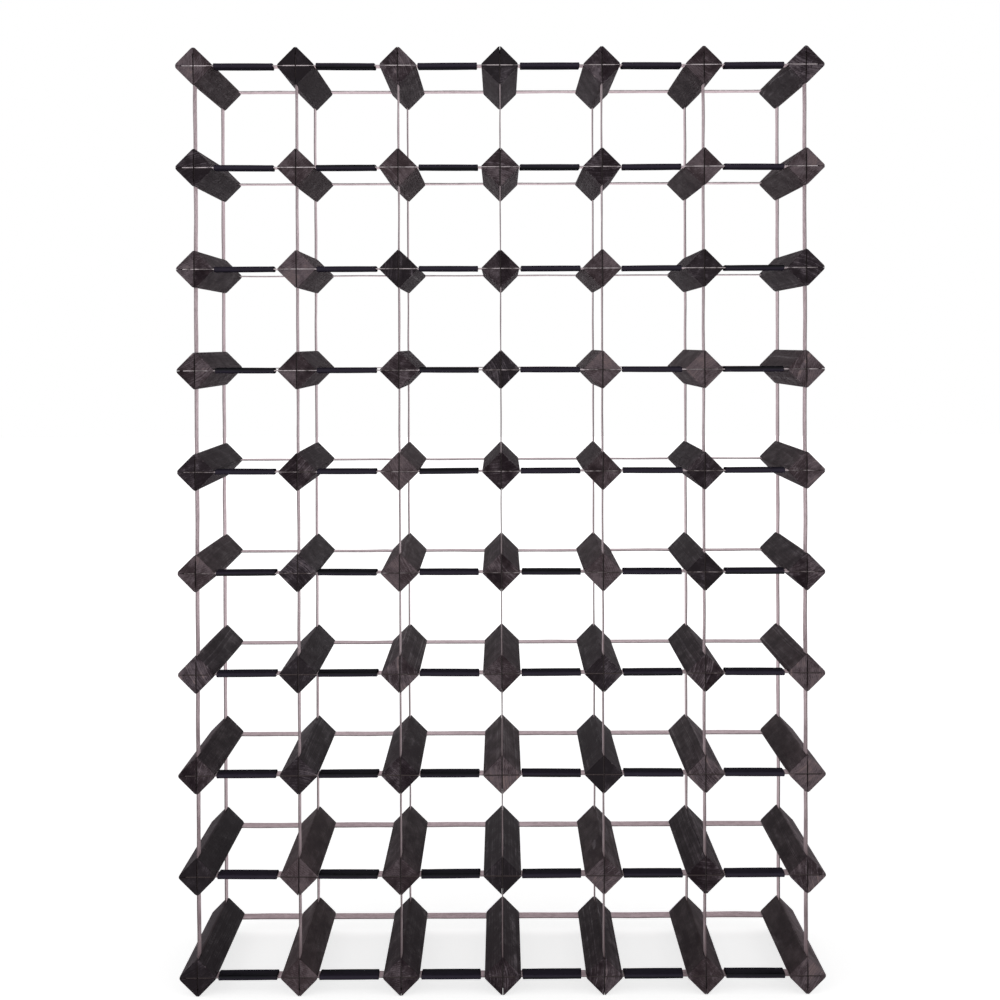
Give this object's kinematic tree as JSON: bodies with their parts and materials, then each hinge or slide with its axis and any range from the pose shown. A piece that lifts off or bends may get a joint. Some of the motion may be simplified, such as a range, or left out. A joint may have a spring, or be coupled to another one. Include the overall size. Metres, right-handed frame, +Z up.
{
  "type": "wine rack",
  "caption": "Free-standing lattice wine rack: dark-stained square timber blocks set on their corners, joined front and back by galvanised steel straps, with black sleeves on the front straps.",
  "frame": {"origin": "on the floor under the centre of the rack: bottom centre of the bounding box", "axes": "+X to the right along the rows seen from the front, +Y from the front to the back, +Z up"},
  "size_m": [0.6182, 0.229, 0.9047],
  "materials": {
    "stained_timber": "black-stained pine, matt, sawn end grain",
    "galvanised_strip": "galvanised strip steel, satin",
    "vinyl_sleeve": "soft black vinyl tube, satin"
  },
  "bodies": {
    "root": {"timber_blocks_row_01": "stained_timber", "front_cross_strap_01": "galvanised_strip", "rear_cross_strap_01": "galvanised_strip", "strap_sleeves_row_01": "vinyl_sleeve", "timber_blocks_row_02": "stained_timber", "front_cross_strap_02": "galvanised_strip", "rear_cross_strap_02": "galvanised_strip", "strap_sleeves_row_02": "vinyl_sleeve", "timber_blocks_row_03": "stained_timber", "front_cross_strap_03": "galvanised_strip", "rear_cross_strap_03": "galvanised_strip", "strap_sleeves_row_03": "vinyl_sleeve", "timber_blocks_row_04": "stained_timber", "front_cross_strap_04": "galvanised_strip", "rear_cross_strap_04": "galvanised_strip", "strap_sleeves_row_04": "vinyl_sleeve", "timber_blocks_row_05": "stained_timber", "front_cross_strap_05": "galvanised_strip", "rear_cross_strap_05": "galvanised_strip", "strap_sleeves_row_05": "vinyl_sleeve", "timber_blocks_row_06": "stained_timber", "front_cross_strap_06": "galvanised_strip", "rear_cross_strap_06": "galvanised_strip", "strap_sleeves_row_06": "vinyl_sleeve", "timber_blocks_row_07": "stained_timber", "front_cross_strap_07": "galvanised_strip", "rear_cross_strap_07": "galvanised_strip", "strap_sleeves_row_07": "vinyl_sleeve", "timber_blocks_row_08": "stained_timber", "front_cross_strap_08": "galvanised_strip", "rear_cross_strap_08": "galvanised_strip", "strap_sleeves_row_08": "vinyl_sleeve", "timber_blocks_row_09": "stained_timber", "front_cross_strap_09": "galvanised_strip", "rear_cross_strap_09": "galvanised_strip", "strap_sleeves_row_09": "vinyl_sleeve", "timber_blocks_row_10": "stained_timber", "front_cross_strap_10": "galvanised_strip", "rear_cross_strap_10": "galvanised_strip", "strap_sleeves_row_10": "vinyl_sleeve", "front_post_strap_1": "galvanised_strip", "rear_post_strap_1": "galvanised_strip", "front_post_strap_2": "galvanised_strip", "rear_post_strap_2": "galvanised_strip", "front_post_strap_3": "galvanised_strip", "rear_post_strap_3": "galvanised_strip", "front_post_strap_4": "galvanised_strip", "rear_post_strap_4": "galvanised_strip", "front_post_strap_5": "galvanised_strip", "rear_post_strap_5": "galvanised_strip", "front_post_strap_6": "galvanised_strip", "rear_post_strap_6": "galvanised_strip", "front_post_strap_7": "galvanised_strip", "rear_post_strap_7": "galvanised_strip"}
  },
  "joints": []
}
